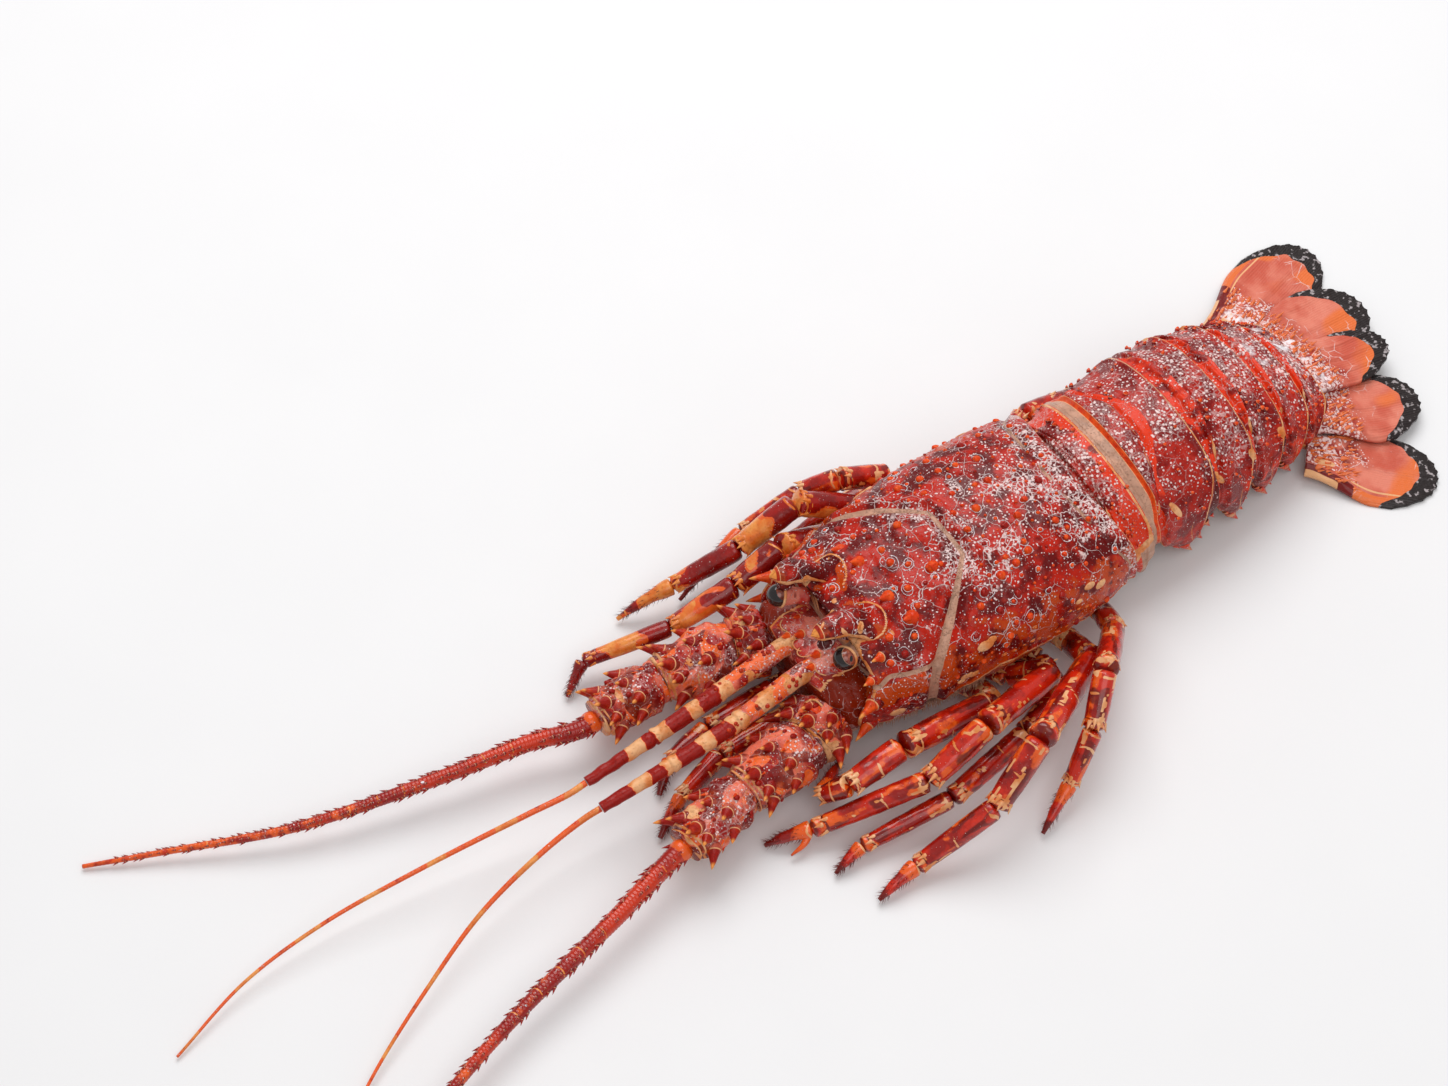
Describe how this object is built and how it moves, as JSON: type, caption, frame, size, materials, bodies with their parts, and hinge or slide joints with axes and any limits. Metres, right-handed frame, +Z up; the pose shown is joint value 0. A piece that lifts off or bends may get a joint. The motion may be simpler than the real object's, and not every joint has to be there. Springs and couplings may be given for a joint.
{
  "type": "spiny lobster",
  "caption": "Cooked spiny lobster lying on its belly, long spiny feelers forward, legs folded along its sides and tail fan spread.",
  "frame": {"origin": "middle of the flat underside of the sternum, on the floor", "axes": "+Z up, head towards -Y, tail towards +Y, the animal's left side towards +X"},
  "size_m": [0.1672, 0.5009, 0.0547],
  "materials": {
    "body_shell": "deep red shell with orange tubercles, cream spots and a pale frosted network",
    "front_shell": "pink, cream and dark red mottled shell with red orange-tipped spines",
    "leg_shell": "dark red shell with orange and cream bands and blotches, brown bristly tips",
    "feeler": "red whip with pale rings and rows of small spinules",
    "tail_fan": "translucent salmon orange blade with radial ribs and a black scalloped margin",
    "eye": "glossy black and red-brown ball",
    "belly_shell": "cream underside shell"
  },
  "bodies": {
    "root": {"carapace": "body_shell", "sternum": "belly_shell", "snout": "front_shell", "eyestalk_left": "front_shell", "eye_left": "eye", "eyestalk_right": "front_shell", "eye_right": "eye", "antenna_base_1_left": "front_shell", "antenna_base_2_left": "front_shell", "antenna_base_3_left": "front_shell", "antenna_whip_left_1": "feeler", "antenna_whip_left_2": "feeler", "antenna_whip_left_3": "feeler", "antennule_left": "front_shell", "antennule_whip_left": "feeler", "antenna_base_1_right": "front_shell", "antenna_base_2_right": "front_shell", "antenna_base_3_right": "front_shell", "antenna_whip_right_1": "feeler", "antenna_whip_right_2": "feeler", "antenna_whip_right_3": "feeler", "antennule_right": "front_shell", "antennule_whip_right": "feeler", "maxilliped_left": "leg_shell", "maxilliped_right": "leg_shell", "leg_1_left_upper": "leg_shell", "leg_1_left_lower": "leg_shell", "leg_2_left_upper": "leg_shell", "leg_2_left_lower": "leg_shell", "leg_3_left_upper": "leg_shell", "leg_3_left_lower": "leg_shell", "leg_4_left_upper": "leg_shell", "leg_4_left_lower": "leg_shell", "leg_5_left_upper": "leg_shell", "leg_5_left_lower": "leg_shell", "leg_1_right_upper": "leg_shell", "leg_1_right_lower": "leg_shell", "leg_2_right_upper": "leg_shell", "leg_2_right_lower": "leg_shell", "leg_3_right_upper": "leg_shell", "leg_3_right_lower": "leg_shell", "leg_4_right_upper": "leg_shell", "leg_4_right_lower": "leg_shell", "leg_5_right_upper": "leg_shell", "leg_5_right_lower": "leg_shell", "abdomen_1": "body_shell", "abdomen_2": "body_shell", "abdomen_3": "body_shell", "abdomen_4": "body_shell", "abdomen_5": "body_shell", "abdomen_6": "body_shell", "telson": "tail_fan", "endopod_right": "tail_fan", "endopod_left": "tail_fan", "exopod_right": "tail_fan", "exopod_left": "tail_fan"}
  },
  "joints": []
}
